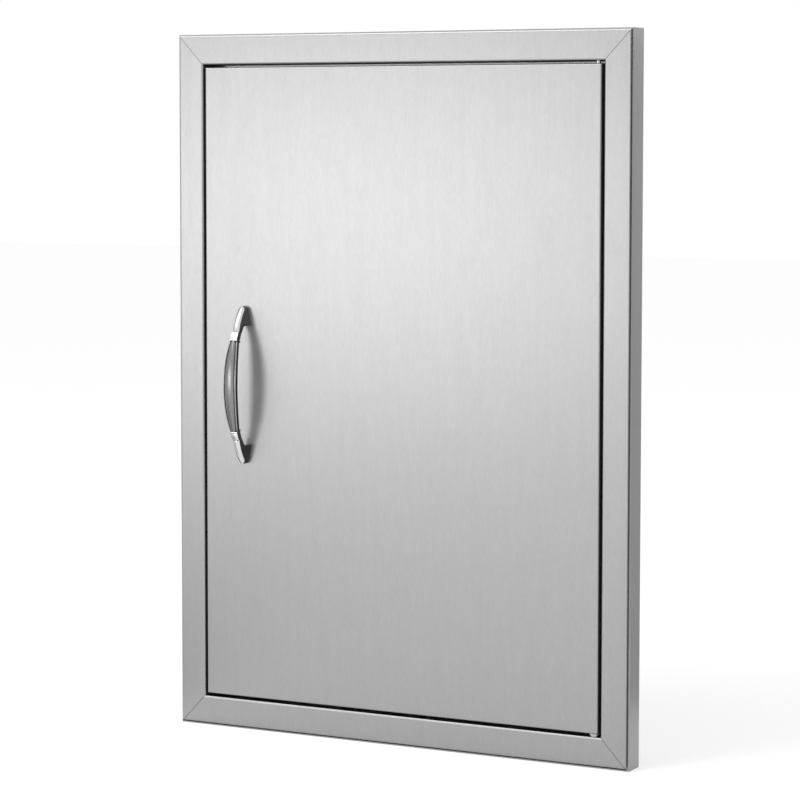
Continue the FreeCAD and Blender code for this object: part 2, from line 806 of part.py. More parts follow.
def build_bolt_spring(low, high):
    """Compression spring round the bolt, from the bracket's lower leg to the clip."""
    rise = high - low - spring_wire
    radius = spring_diameter / 2
    climb = rise / spring_turns / (2 * math.pi)
    centre = Vec(pivot_x, pivot_from_front, low + spring_wire / 2)
    points = []
    ways = []
    for half_turn in range(2 * spring_turns + 1):
        angle = math.pi * half_turn
        points.append(centre + Vec(radius * math.cos(angle), radius * math.sin(angle), climb * angle))
        ways.append(Vec(-radius * math.sin(angle), radius * math.cos(angle), climb).normalize())
    path = tangent_arcs(points, ways)
    ring = Part.Wire([Part.makeCircle(spring_wire / 2, points[0], ways[0])])
    nodes["bolt_spring"] = path.makePipeShell([ring], True, False)
    per_turn = 36
    along = path.discretize(Number=per_turn * spring_turns + 1)
    gap = min((q - p).Length for i, p in enumerate(along) for q in along[i + per_turn // 2:]) - spring_wire
    print(f"bolt_spring: least gap between turns {gap:.2f} mm")


def handle_point(out, along):
    """A point of the handle's side view: how far out from the door, and how far above its middle."""
    return Vec(handle_x, -out, handle_z + along)


def bow_front(along):
    """Projection of the bow's front at a distance from its middle."""
    return handle_projection - handle_arc_radius + math.sqrt(handle_arc_radius ** 2 - along ** 2)


def bow_slab(half_length, proud, half_width_end, half_width_middle):
    """A stretch of the bow, cut from its side outline and its front outline."""
    front = [handle_point(bow_front(step) + proud, step) for step in (-half_length, 0.0, half_length)]
    back = [point + Vec(0, handle_thickness + 2 * proud, 0) for point in front]
    side_wire = Part.Wire([
        Part.Arc(*front).toShape(),
        Part.LineSegment(front[2], back[2]).toShape(),
        Part.Arc(*reversed(back)).toShape(),
        Part.LineSegment(back[0], front[0]).toShape(),
    ])
    side = Part.Face(side_wire)
    side.translate(Vec(-reach / 2, 0, 0))
    side = side.extrude(Vec(reach, 0, 0))
    depth = Vec(0, reach, 0)
    right = [
        Vec(handle_x + half_width_end, -reach, handle_z - half_length - 1),
        Vec(handle_x + half_width_middle, -reach, handle_z),
        Vec(handle_x + half_width_end, -reach, handle_z + half_length + 1),
    ]
    left = [Vec(2 * handle_x - point.x, point.y, point.z) for point in reversed(right)]
    front_wire = Part.Wire([
        bowed_edge(right),
        Part.LineSegment(right[2], left[0]).toShape(),
        bowed_edge(left),
        Part.LineSegment(left[2], right[0]).toShape(),
    ])
    return side.common(Part.Face(front_wire).extrude(depth))


def level_slice(low, high):
    """A wide slice between two distances from the handle's middle."""
    return block(
        (handle_x - reach / 2, -reach, handle_z + low),
        (handle_x + reach / 2, 0, handle_z + high),
    )


def bowed_edge(points):
    """An arc through three points, or a straight edge where they lie in line."""
    if abs(points[0].x - points[1].x) < 1e-6:
        return Part.LineSegment(points[0], points[2]).toShape()
    return Part.Arc(*points).toShape()


def bow_tangent(along):
    """Centre of the bow's section and its direction, upwards, at a distance from its middle."""
    out = bow_front(along) - handle_thickness / 2
    slope = along / math.sqrt(handle_arc_radius ** 2 - along ** 2)
    return handle_point(out, along), Vec(0, slope, 1).normalize()


def build_grip():
    """Brushed bow between the collars, with a tenon at each end."""
    slab = bow_slab(grip_half_length + 2.0, 0.0, grip_end_half_width, grip_half_width)
    long_edges = [edge for edge in slab.Edges if edge.BoundBox.ZLength > grip_half_length]
    rounded = slab.makeFillet(grip_edge_radius, long_edges)
    grip = rounded.common(level_slice(-grip_half_length, grip_half_length))
    for sign in (-1, 1):
        centre, way = bow_tangent(sign * grip_half_length)
        start = centre - way * (sign * 1.0)
        grip = grip.fuse(rod(tenon_diameter / 2, start, way * sign, tenon_length + 1.0))
    nodes["handle_grip"] = grip.removeSplitter()


def build_collars():
    """Polished rings between the grip and the end posts."""
    outer_half = grip_half_length + collar_length
    long_bow = bow_slab(outer_half, collar_proud, collar_half_width, collar_half_width)
    collars = []
    for sign in (-1, 1):
        ends = sorted((sign * grip_half_length, sign * outer_half))
        ring = long_bow.common(level_slice(*ends))
        edges = [edge for edge in ring.Edges if edge.BoundBox.XLength < 1e-4 and edge.BoundBox.ZLength > 1]
        ring = ring.makeFillet(collar_edge_radius, edges)
        centre, way = bow_tangent(sign * grip_half_length)
        bore_radius = tenon_diameter / 2 + seat_clearance
        bore = rod(bore_radius, centre - way * (sign * 3.0), way * sign, tenon_length + 6.0)
        collars.append(ring.cut(bore))
    nodes["handle_collars"] = Part.makeCompound(collars)


def upper_post():
    """Cast end post: a side outline, cut to the foot's outline and narrowed towards its ridge."""
    start = grip_half_length + collar_length
    start_out = bow_front(start)
    foot_start = post_half_length - post_foot_length
    front = [
        handle_point(start_out, start),
        handle_point(post_shoulder_height, post_half_length - post_shoulder_from_tip),
        handle_point(post_tip_height, post_half_length),
    ]
    tip = handle_point(0, post_half_length)
    heel = handle_point(0, foot_start)
    inner = handle_point(post_inner_height, foot_start)
    neck = handle_point(start_out - handle_thickness, start)
    side_wire = Part.Wire([
        Part.Arc(*front).toShape(),
        Part.LineSegment(front[2], tip).toShape(),
        Part.LineSegment(tip, heel).toShape(),
        Part.LineSegment(heel, inner).toShape(),
        Part.LineSegment(inner, neck).toShape(),
        Part.LineSegment(neck, front[0]).toShape(),
    ])
    side = Part.Face(side_wire)
    side.translate(Vec(-reach / 2, 0, 0))
    side = side.extrude(Vec(reach, 0, 0))
    tip_centre = handle_z + post_half_length - post_tip_radius
    shoulder = handle_z + foot_start
    base = handle_z + start
    corners = [
        Vec(handle_x - post_tip_radius, 0, tip_centre),
        Vec(handle_x - post_foot_half_width, 0, shoulder),
        Vec(handle_x - post_foot_half_width, 0, base),
        Vec(handle_x + post_foot_half_width, 0, base),
        Vec(handle_x + post_foot_half_width, 0, shoulder),
        Vec(handle_x + post_tip_radius, 0, tip_centre),
    ]
    crown = Part.Arc(corners[-1], Vec(handle_x, 0, tip_centre + post_tip_radius), corners[0])
    plan = Part.Wire(Part.makePolygon(corners).Edges + [crown.toShape()])
    plan_prism = Part.Face(plan).extrude(Vec(0, -reach, 0))
    ridge_corners = [
        (-post_foot_half_width, 0.0),
        (post_foot_half_width, 0.0),
        (post_ridge_half_width, -start_out),
        (-post_ridge_half_width, -start_out),
    ]
    points = [Vec(handle_x + a, b, base) for a, b in ridge_corners]
    ridge = Part.Face(Part.makePolygon(points + [points[0]])).extrude(Vec(0, 0, post_half_length))
    return side.common(plan_prism).common(ridge)


def build_posts():
    """Upper and lower posts, bored for the grip's tenon and tapped for the screw."""
    post = upper_post()
    centre, way = bow_tangent(grip_half_length)
    socket = rod(tenon_diameter / 2 + seat_clearance, centre, way, tenon_length + 0.3)
    tapped = rod(
        handle_screw_diameter / 2 + seat_clearance,
        Vec(handle_x, 1, handle_screw_levels()[1]),
        -Y_AXIS,
        handle_screw_engagement + 1.5,
    )
    post = post.cut(socket).cut(tapped).removeSplitter()
    nodes["handle_upper_post"] = post
    nodes["handle_lower_post"] = mirrored_z(post, handle_z)


def build_handle_fixings():
    """Backing plate, lock washers and screws that hold the handle from inside the door."""
    plate_front = door_sheet
    plate_back = plate_front + backing_sheet
    plate = block(
        (handle_x - backing_width / 2, plate_front, handle_z - backing_length / 2),
        (handle_x + backing_width / 2, plate_back, handle_z + backing_length / 2),
    )
    screws = []
    washers = []
    washer_back = plate_back + lock_washer_sheet
    radius = handle_screw_diameter / 2
    for level in handle_screw_levels():
        plate = plate.cut(rod(radius + 0.2, Vec(handle_x, 0, level), Y_AXIS, 10))
        seat = Vec(handle_x, washer_back, level)
        washer = rod(lock_washer_diameter / 2, seat, -Y_AXIS, lock_washer_sheet)
        washers.append(washer.cut(rod(radius + pin_clearance, seat + Y_AXIS, -Y_AXIS, 3)))
        head = rod(handle_screw_head / 2, seat, Y_AXIS, handle_screw_head_height)
        head_end = washer_back + handle_screw_head_height
        rim = [edge for edge in head.Edges if edge.BoundBox.YMin > head_end - 1e-4]
        head = head.makeFillet(handle_screw_head_height / 2, rim)
        shank = rod(radius, seat, -Y_AXIS, washer_back + handle_screw_engagement)
        screws.append(head.fuse(shank).removeSplitter())
    nodes["handle_backing_plate"] = plate
    nodes["handle_lock_washers"] = Part.makeCompound(washers)
    nodes["handle_screws"] = Part.makeCompound(screws)


def main():
    """Build every piece, move it to the model's origin and write it."""
    build_frame_members()
    build_corner_gussets()
    build_frame_pivots()
    build_catch()
    build_bumpers()
    build_door_pan()
    build_back_panel()
    build_stiffeners()
    build_back_rivets()
    build_strike()
    build_lower_hinge()
    stop_level, spring_seat = build_upper_hinge()
    build_hinge_bolt(stop_level, spring_seat)
    build_grip()
    build_collars()
    build_posts()
    build_handle_fixings()
    os.makedirs("parts", exist_ok=True)
    to_origin = Vec(0, -frame_depth, -rail_lip / 2)
    for name, shape in nodes.items():
        placed = shape.copy()
        placed.translate(to_origin)
        placed.exportStep("parts/" + name + ".step")
        box = placed.BoundBox
        extent = f"{box.XLength:8.1f} {box.YLength:7.1f} {box.ZLength:7.1f}"
        print(f"{name:24s} {len(placed.Solids):2d} solids, valid {placed.isValid()}, size {extent}")


main()
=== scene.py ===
"""Looks of a hinged stainless access door for a built-in outdoor kitchen.

The folded frame, the double-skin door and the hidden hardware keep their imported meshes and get
procedural finishes. The pull handle and the bolt's spring are rebuilt as smooth surfaces worked out with
numpy. Lengths are in metres, apart from sizes that say millimetres.
"""

import logging
import math
from dataclasses import dataclass
from enum import Enum

import bpy
import numpy as np
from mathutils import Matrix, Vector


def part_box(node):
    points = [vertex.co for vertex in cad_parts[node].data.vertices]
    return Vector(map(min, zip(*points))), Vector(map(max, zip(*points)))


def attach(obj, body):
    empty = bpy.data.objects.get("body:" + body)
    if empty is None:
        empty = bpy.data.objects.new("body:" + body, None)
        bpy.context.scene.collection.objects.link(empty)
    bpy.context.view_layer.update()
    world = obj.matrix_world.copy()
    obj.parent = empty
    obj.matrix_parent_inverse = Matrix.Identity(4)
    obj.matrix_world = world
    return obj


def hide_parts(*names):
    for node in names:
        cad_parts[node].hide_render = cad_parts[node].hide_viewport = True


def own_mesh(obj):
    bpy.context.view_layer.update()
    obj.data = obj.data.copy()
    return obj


LOG = logging.getLogger("access_door")
MM = 0.001
# Noise lies between nought and one, and mostly between these two values.
NOISE_LOW = 0.3
NOISE_HIGH = 0.7
# Soft patches in a metal's tone: how many brush lines wide they are, and their share beside the lines.
PATCH_WIDTH = 8
PATCH_SHARE = 0.25
# How far moulded surfaces swing in tone, as factors, and in roughness, either way.
MOULDED_TONES = (0.92, 1.06)
MOULDED_ROUGHNESS_DEPTH = 0.06
# Count of glossy turns beyond which light is counted as lost among the faces.
DEEP_TURNS = 1.5

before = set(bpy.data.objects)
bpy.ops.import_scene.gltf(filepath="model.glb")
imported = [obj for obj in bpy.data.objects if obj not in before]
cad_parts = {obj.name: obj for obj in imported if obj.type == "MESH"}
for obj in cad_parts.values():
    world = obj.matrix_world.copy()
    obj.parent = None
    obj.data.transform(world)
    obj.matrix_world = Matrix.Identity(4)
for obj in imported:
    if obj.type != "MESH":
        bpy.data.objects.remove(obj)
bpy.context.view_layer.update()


class Grain(Enum):
    """Way in which a sheet's brushing runs; each value is the stretch of the pattern along X, Y and Z."""

    UPRIGHT = (1.0, 1.0, 9.0)
    EVEN = (1.0, 1.0, 1.0)


def linear(colour: str) -> tuple[float, float, float, float]:
    """Turn an sRGB hex colour into linear light.

    Args:
        colour: six hex digits after a hash.

    Returns:
        Red, green, blue and an alpha of one.
    """
    parts = [int(colour[i:i + 2], 16) / 255 for i in (1, 3, 5)]
    light = [c / 12.92 if c <= 0.04045 else ((c + 0.055) / 1.055) ** 2.4 for c in parts]
    return light[0], light[1], light[2], 1.0


def add_node(tree: bpy.types.NodeTree, kind: str, inputs: dict | None = None, **settings) -> bpy.types.Node:
    """Add a node with its settings, its constants and its links.

    Args:
        tree: the node tree that gets the node.
        kind: the node's type name, without the leading "ShaderNode".
        inputs: socket name or index to a constant, or to the output socket that feeds it.
        settings: attributes of the node itself.

    Returns:
        The new node.
    """
    node = tree.nodes.new("ShaderNode" + kind)
    for name, value in settings.items():
        setattr(node, name, value)
    for key, value in (inputs or {}).items():
        if isinstance(value, bpy.types.NodeSocket):
            tree.links.new(value, node.inputs[key])
        else:
            node.inputs[key].default_value = value
    return node


def swing(
    tree: bpy.types.NodeTree, value: bpy.types.NodeSocket, low: float, high: float
) -> bpy.types.NodeSocket:
    """Map the values between which noise mostly lies to two others.

    Args:
        tree: the node tree that gets the node.
        value: the noise.
        low: what the noise's low value becomes.
        high: what its high value becomes.

    Returns:
        The mapped value.
    """
    inputs = {0: value, 1: NOISE_LOW, 2: NOISE_HIGH, 3: low, 4: high}
    return add_node(tree, "MapRange", inputs).outputs[0]


def toned(tree: bpy.types.NodeTree, colour: str, tone: bpy.types.NodeSocket) -> bpy.types.NodeSocket:
    """Lighten or darken a colour.

    Args:
        tree: the node tree that gets the node.
        colour: sRGB hex of the colour.
        tone: the factor.

    Returns:
        The colour times the factor.
    """
    inputs = {0: linear(colour)[:3], "Scale": tone}
    return add_node(tree, "VectorMath", inputs, operation="SCALE").outputs[0]


def new_material(name: str) -> tuple[bpy.types.Material, bpy.types.NodeTree, bpy.types.Node]:
    """Make an empty material with a principled shader on its output.

    Args:
        name: the finish's name.

    Returns:
        The material, its node tree and the shader.
    """
    material = bpy.data.materials.new(name)
    material.use_nodes = True
    tree = material.node_tree
    tree.nodes.clear()
    shader = add_node(tree, "BsdfPrincipled")
    add_node(tree, "OutputMaterial", {"Surface": shader.outputs[0]})
    return material, tree, shader


@dataclass(frozen=True)
class MetalFinish:
    """A bare or plated metal surface with grain, soft tone patches and fine scratches.

    Attributes:
        name: the finish's name.
        colour: sRGB hex of the metal.
        roughness: mean roughness.
        grain: way in which the brushing runs.
        grain_width: width of a brush line, in millimetres.
        tone_depth: how far brush lines and patches lighten or darken the metal.
        roughness_depth: how far the roughness swings about its mean.
        bump_height: height of the brush lines, in millimetres.
        stretch: how much further the sheen spreads across the brush lines than along them.
    """

    name: str
    colour: str
    roughness: float
    grain: Grain = Grain.EVEN
    grain_width: float = 0.8
    tone_depth: float = 0.06
    roughness_depth: float = 0.06
    bump_height: float = 0.0
    stretch: float = 0.0

    def material(self) -> bpy.types.Material:
        """Build the finish.

        Returns:
            The material: two layers of stretched noise, a fine one for the brush lines and a wide one
            for the patches that rolling leaves, drive tone and roughness. The fine one drives height.
        """
        material, tree, shader = new_material(self.name)
        place = add_node(tree, "TexCoord").outputs["Object"]
        width = self.grain_width * MM
        fine_scale = tuple(1 / (width * length) for length in self.grain.value)
        layers = []
        for factor, detail in ((1.0, 3.0), (1 / PATCH_WIDTH, 2.0)):
            scale = tuple(value * factor for value in fine_scale)
            mapped = add_node(tree, "Mapping", {"Vector": place, "Scale": scale}).outputs[0]
            noise = add_node(tree, "TexNoise", {"Vector": mapped, "Scale": 1.0, "Detail": detail})
            layers.append(noise.outputs["Fac"])
        both = add_node(tree, "Mix", {0: PATCH_SHARE, 2: layers[0], 3: layers[1]}, data_type="FLOAT")
        value = both.outputs[0]
        tone = swing(tree, value, 1.0 - self.tone_depth, 1.0 + self.tone_depth)
        shade = toned(tree, self.colour, tone)
        rough = swing(
            tree, value, self.roughness + self.roughness_depth, self.roughness - self.roughness_depth
        )
        tree.links.new(shade, shader.inputs["Base Color"])
        tree.links.new(rough, shader.inputs["Roughness"])
        shader.inputs["Metallic"].default_value = 1.0
        shader.inputs["Anisotropic"].default_value = self.stretch
        if self.stretch:
            normal = add_node(tree, "NewGeometry").outputs["Normal"]
            across = add_node(tree, "VectorMath", {0: (0, 0, 1), 1: normal}, operation="CROSS_PRODUCT")
            steady = add_node(tree, "VectorMath", {0: across.outputs[0], 1: (1e-3, 0, 0)}, operation="ADD")
            tree.links.new(steady.outputs[0], shader.inputs["Tangent"])
        if self.bump_height:
            inputs = {"Height": layers[0], "Distance": self.bump_height * MM, "Strength": 1.0}
            bump = add_node(tree, "Bump", inputs)
            tree.links.new(bump.outputs[0], shader.inputs["Normal"])
        return material


@dataclass(frozen=True)
class MouldedFinish:
    """A moulded plastic, rubber or pressed ceramic surface with a fine even texture.

    Attributes:
        name: the finish's name.
        colour: sRGB hex of the material.
        roughness: mean roughness.
        texture_size: size of the mould's texture, in millimetres.
        texture_height: height of the texture, in millimetres.
        ior: index of refraction.
    """

    name: str
    colour: str
    roughness: float
    texture_size: float = 0.6
    texture_height: float = 0.02
    ior: float = 1.48

    def material(self) -> bpy.types.Material:
        """Build the finish.

        Returns:
            The material: one even noise gives the mould's texture and its slight change of tone and
            sheen.
        """
        material, tree, shader = new_material(self.name)
        place = add_node(tree, "TexCoord").outputs["Object"]
        inputs = {"Vector": place, "Scale": 1 / (self.texture_size * MM), "Detail": 3.0}
        value = add_node(tree, "TexNoise", inputs).outputs["Fac"]
        tone = swing(tree, value, *MOULDED_TONES)
        shade = toned(tree, self.colour, tone)
        rough = swing(
            tree, value, self.roughness + MOULDED_ROUGHNESS_DEPTH, self.roughness - MOULDED_ROUGHNESS_DEPTH
        )
        bump = add_node(tree, "Bump", {"Height": value, "Distance": self.texture_height * MM})
        tree.links.new(shade, shader.inputs["Base Color"])
        tree.links.new(rough, shader.inputs["Roughness"])
        tree.links.new(bump.outputs[0], shader.inputs["Normal"])
        shader.inputs["IOR"].default_value = self.ior
        return material


# Austenitic stainless sheet, brushed upright with a belt of about 180 grit: a satin face whose sheen
# spreads sideways. The real lines are under 0.1 mm wide, too fine to show, so they are drawn 0.7 mm wide.
BRUSHED_SHEET = MetalFinish(
    "stainless_sheet_brushed",
    "#A2A2A2",
    roughness=0.36,
    grain=Grain.UPRIGHT,
    grain_width=0.7,
    tone_depth=0.046,
    roughness_depth=0.008,
    bump_height=0.0006,
    stretch=0.55,
)
# The same steel straight from the rolls, on parts nobody looks at: flatter and a little cloudy.
MILL_SHEET = MetalFinish("stainless_sheet_mill", "#A4A6A7", 0.42, Grain.EVEN, 6.0, 0.06, 0.05)
# Stainless wire and rod, drawn: fairly bright, with light lines.
DRAWN_STEEL = MetalFinish("stainless_wire_drawn", "#B4B6B7", 0.24, Grain.EVEN, 1.2, 0.04, 0.04)
# Polished and buffed casting: mirror-like, with the faint waves of hand polishing.
POLISHED_CASTING = MetalFinish("stainless_casting_polished", "#D2D3D4", 0.09, Grain.EVEN, 9.0, 0.02, 0.03)
# Blasted and lightly buffed casting: the grip's body, a darker satin with a soft sheen.
SATIN_CASTING = MetalFinish("stainless_casting_satin", "#A0A1A2", 0.2, Grain.EVEN, 1.5, 0.03, 0.03)
# Brushed strip on the grip: darker still, with lines that are drawn 0.45 mm wide to show at all.
BRUSHED_GRIP = MetalFinish(
    "stainless_grip_brushed", "#808080", 0.28, Grain.UPRIGHT, 0.45, 0.05, 0.03, bump_height=0.001
)
# Bright zinc plate over mild steel: slightly blue, with cloudy spangles.
ZINC_PLATE = MetalFinish("steel_zinc_plated", "#AEB4BA", 0.3, Grain.EVEN, 2.2, 0.08, 0.08)
# Soft aluminium of blind rivets, as set by the tool: pale, dull and slightly scuffed.
RIVET_ALUMINIUM = MetalFinish("aluminium_rivet_plain", "#C4C5C6", 0.36, Grain.EVEN, 0.9, 0.06, 0.08)
# Acetal, moulded: waxy white.
WHITE_ACETAL = MouldedFinish("acetal_moulded_white", "#DEDDD8", 0.38)
# Nylon, moulded black with a spark-eroded texture.
BLACK_NYLON = MouldedFinish("nylon_moulded_black", "#1B1B1C", 0.45, 0.5, 0.03, 1.53)
# Barium ferrite, pressed and sintered: charcoal, dull, with a fine tooth.
FERRITE = MouldedFinish("ferrite_sintered", "#2B2B2D", 0.62, 0.4, 0.03, 1.9)
# Grey synthetic rubber buttons with a matt bloom.
RUBBER = MouldedFinish("rubber_moulded_grey", "#3A3A3A", 0.7, 0.5, 0.02, 1.52)

NODE_FINISHES = {
    BRUSHED_SHEET: (
        "frame_top_rail",
        "frame_bottom_rail",
        "frame_left_stile",
        "frame_right_stile",
        "door_front_pan",
        "door_back_panel",
    ),
    MILL_SHEET: ("frame_corner_gussets", "door_stiffeners"),
    DRAWN_STEEL: ("hinge_bolt", "bolt_retaining_clip"),
    ZINC_PLATE: (
        "pivot_backing_plates",
        "lower_pivot_pin",
        "lower_pivot_nut",
        "lower_thrust_washer",
        "catch_pole_plates",
        "catch_screws",
        "catch_strike_plate",
        "handle_backing_plate",
        "handle_screws",
        "handle_lock_washers",
        "lower_hinge_plate",
        "upper_hinge_bracket",
    ),
    RIVET_ALUMINIUM: ("strike_rivets", "back_panel_rivets"),
    WHITE_ACETAL: ("upper_pivot_bush", "lower_pivot_bush", "bolt_guide_bush", "catch_housing"),
    BLACK_NYLON: ("bolt_knob",),
    FERRITE: ("catch_magnet",),
    RUBBER: ("door_bumpers",),
}


def dress_nodes() -> None:
    """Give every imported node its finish."""
    for finish, names in NODE_FINISHES.items():
        material = finish.material()
        for name in names:
            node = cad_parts[name]
            for slot in node.material_slots:
                slot.material = material
            LOG.info("dressed %s with %s", name, finish.name)


def turned_outwards(vertices: np.ndarray, faces: np.ndarray) -> np.ndarray:
    """Reverse a closed mesh's faces if they enclose a negative volume.

    Args:
        vertices: the points.
        faces: point indices, four to a face, of which the last two may be the same.

    Returns:
        The faces, pointing outwards.
    """
    a, b, c, d = (vertices[faces[:, corner]] for corner in range(4))
    volume = np.einsum("ij,ij->", a, np.cross(b, c)) + np.einsum("ij,ij->", a, np.cross(c, d))
    return faces if volume > 0 else faces[:, ::-1]


def tube(name: str, points: np.ndarray, material: bpy.types.Material) -> bpy.types.Object:
    """Make a closed tube from a grid of points, with a fan at each end.

    Args:
        name: the piece's name.
        points: rings x points x 3, each ring closed on itself.
        material: the piece's finish.

    Returns:
        The object, smooth shaded, with its place in its mesh.
    """
    rings, around = points.shape[:2]
    here = np.arange(around)[None, :]
    after = (here + 1) % around
    first = np.arange(rings - 1)[:, None] * around
    above = first + around
    quads = np.stack([first + here, first + after, above + after, above + here], axis=-1)
    start, end, last = rings * around, rings * around + 1, (rings - 1) * around
    start_point, end_point = np.full_like(here, start), np.full_like(here, end)
    start_fan = np.stack([after, here, start_point, start_point], axis=-1)
    end_fan = np.stack([last + here, last + after, end_point, end_point], axis=-1)
    faces = np.concatenate([part.reshape(-1, 4) for part in (quads, start_fan, end_fan)])
    vertices = np.concatenate([points.reshape(-1, 3), points[:1].mean(1), points[-1:].mean(1)])
    faces = turned_outwards(vertices, faces).tolist()
    mesh = bpy.data.meshes.new(name)
    mesh.from_pydata(vertices.tolist(), [], [list(dict.fromkeys(face)) for face in faces])
    mesh.materials.append(material)
    mesh.shade_smooth()
    mesh.update()
    piece = bpy.data.objects.new(name, mesh)
    bpy.context.scene.collection.objects.link(piece)
    return piece


@dataclass(frozen=True)
class SoftRectangle:
    """Loop of a rectangle with rounded corners: each point is a corner's side and a turn about it.

    Attributes:
        side: -1 or 1 across, for each point.
        end: -1 or 1 along, for each point.
        cosine: part of the corner radius that is added across.
        sine: part of the corner radius that is added along.
    """

    side: np.ndarray
    end: np.ndarray
    cosine: np.ndarray
    sine: np.ndarray

    @classmethod
    def of(cls, steps: int) -> "SoftRectangle":
        """Make the loop.

        Args:
            steps: number of points at each corner.

        Returns:
            The loop, as rows of one ring.
        """
        turn = np.linspace(0, math.pi / 2, steps)
        angle = np.concatenate([turn + quarter * math.pi / 2 for quarter in range(4)])[None, :]
        side = np.repeat([1.0, -1.0, -1.0, 1.0], steps)[None, :]
        end = np.repeat([1.0, 1.0, -1.0, -1.0], steps)[None, :]
        return cls(side, end, np.cos(angle), np.sin(angle))


@dataclass
class PullHandle:
    """Bowed pull: a brushed grip between two polished collars, on two wedge-shaped cast posts.

    A place on the handle is given by how far it stands out from the door, how far it is above the handle's
    middle, and how far it is to the right of its middle line. Sizes are in millimetres.

    Attributes:
        centre_x: place of the handle's middle in X.
        centre_z: place of the handle's middle in Z.
        door_face: place of the door's face in Y.
        projection: how far the bow's front stands out from the door.
        arc_radius: radius of the bow's front.
        thickness: depth of the grip, from its front to its back.
        grip_half_length: half of the grip's length between the collars.
        leaf_half_width: half width of the grip at its middle.
        leaf_half_length: half length of the ellipse that its width follows.
        lip_width: width of the lip and the groove beside the grip's brushed face.
        collar_length: length of a collar.
        collar_half_width: half width of a collar.
        collar_rounding: radius of a collar's edges.
        post_half_length: distance from the handle's middle to a post's tip.
        foot_start: distance from the handle's middle to a foot's inner wall.
        foot_half_width: half width of a foot at its inner wall.
        tip_radius: radius of the foot's tip.
        tip_height: height of the blunt tip.
        shoulder: a point that the post's front passes, up and out.
        ridge_half_width: half width of the post's front.
        inner_height: how far the foot's inner wall rises.
        ridge_rounding: radius of the front's edges.
        front_share: largest part of the front's half width that its rounding may take.
        inner_share: the same for the inner line.
    """

    centre_x: float = -148.5
    centre_z: float = 299.8
    door_face: float = -24.0
    projection: float = 28.3
    arc_radius: float = 109.0
    thickness: float = 6.0
    grip_half_length: float = 39.8
    leaf_half_width: float = 6.35
    leaf_half_length: float = 50.0
    lip_width: float = 2.1
    collar_length: float = 8.2
    collar_half_width: float = 3.35
    collar_rounding: float = 0.6
    post_half_length: float = 69.1
    foot_start: float = 51.9
    foot_half_width: float = 6.2
    tip_radius: float = 3.5
    tip_height: float = 5.2
    shoulder: tuple[float, float] = (59.6, 12.2)
    ridge_half_width: float = 3.5
    inner_height: float = 9.5
    ridge_rounding: float = 3.3
    front_share: float = 0.95
    inner_share: float = 0.62

    def place(self, right: np.ndarray, out: np.ndarray, up: np.ndarray) -> np.ndarray:
        """Turn places on the handle into points of the shared frame.

        Args:
            right: how far right of the middle line.
            out: how far out from the door.
            up: how far above the middle.

        Returns:
            The points, in metres.
        """
        x = self.centre_x + right
        y = self.door_face - out
        z = self.centre_z + up
        return np.stack(np.broadcast_arrays(x, y, z), axis=-1) * MM

    def bow(self, angle: np.ndarray, depth: np.ndarray) -> tuple[np.ndarray, np.ndarray]:
        """Point of the bow: a circle of the arc's radius less the depth, about the arc's centre.

        Args:
            angle: angle along the bow from its middle.
            depth: how far under the bow's front.

        Returns:
            How far out, and how far up.
        """
        radius = self.arc_radius - depth
        out = self.projection - self.arc_radius + radius * np.cos(angle)
        return out, radius * np.sin(angle)

    def angle_at(self, up: float) -> float:
        """Angle along the bow at which its front has risen by a length."""
        return math.asin(up / self.arc_radius)

    def leaf(self, rings: int) -> tuple[np.ndarray, np.ndarray]:
        """Angles along the grip and its half width there, which follows an ellipse.

        Args:
            rings: number of rings.

        Returns:
            The angles and the half widths, as columns.
        """
        limit = self.angle_at(self.grip_half_length)
        angle = np.linspace(-limit, limit, rings)[:, None]
        share = self.arc_radius * np.sin(angle) / self.leaf_half_length
        return angle, self.leaf_half_width * np.sqrt(1 - share ** 2)

    def grip(self, metal: bpy.types.Material) -> bpy.types.Object:
        """Body of the grip: a groove beside its face, a bevelled lip along each flank, and a flat back.

        The section is a row of corners, each a distance in from the half width and a depth. It is carried
        along the bow, and the flat parts of front and back take up the change of width.

        Args:
            metal: the piece's finish.

        Returns:
            The piece.
        """
        lip = self.lip_width
        section = np.array([
            # the groove: under the face, its floor and its outer wall
            (lip + 0.15, 1.25), (lip + 0.1, 2.3), (lip - 0.1, 2.45), (lip - 0.9, 2.45), (lip - 1.05, 2.3),
            (lip - 1.1, 1.0), (lip - 1.18, 0.82), (lip - 1.35, 0.75),
            # the lip and its rounded edge
            (0.4, 0.78), (0.2, 0.9), (0.05, 1.2), (0.0, 1.6),
            # the flank and the back's rounded edge
            (0.05, 2.3), (0.2, 3.3), (0.4, 4.5), (0.52, 5.0), (0.7, 5.45), (1.0, 5.8), (1.4, 5.95),
            (1.9, 6.0),
        ])
        inset = np.concatenate([section[:, 0], section[::-1, 0]])
        depth = np.concatenate([section[:, 1], section[::-1, 1]])
        side = np.repeat([1.0, -1.0], len(section))
        angle, half = self.leaf(129)
        out, up = self.bow(angle, depth[None, :])
        return tube("handle_grip_body", self.place(side[None, :] * (half - inset), out, up), metal)

    def grip_face(self, metal: bpy.types.Material) -> bpy.types.Object:
        """Brushed strip that fills the grip's front: its depth grows with the square of the way across.

        Args:
            metal: the piece's finish.

        Returns:
            The piece.
        """
        angle, half = self.leaf(129)
        across = np.sin(np.linspace(-math.pi / 2, math.pi / 2, 33))
        front = np.stack([across, 0.6 * across ** 2], axis=-1)
        back = np.stack([across[::-1] * 0.98, np.full_like(across, 1.2)], axis=-1)
        loop = np.concatenate([front, back])
        out, up = self.bow(angle, loop[None, :, 1])
        right = loop[None, :, 0] * (half - self.lip_width)
        return tube("handle_grip_face", self.place(right, out, up), metal)

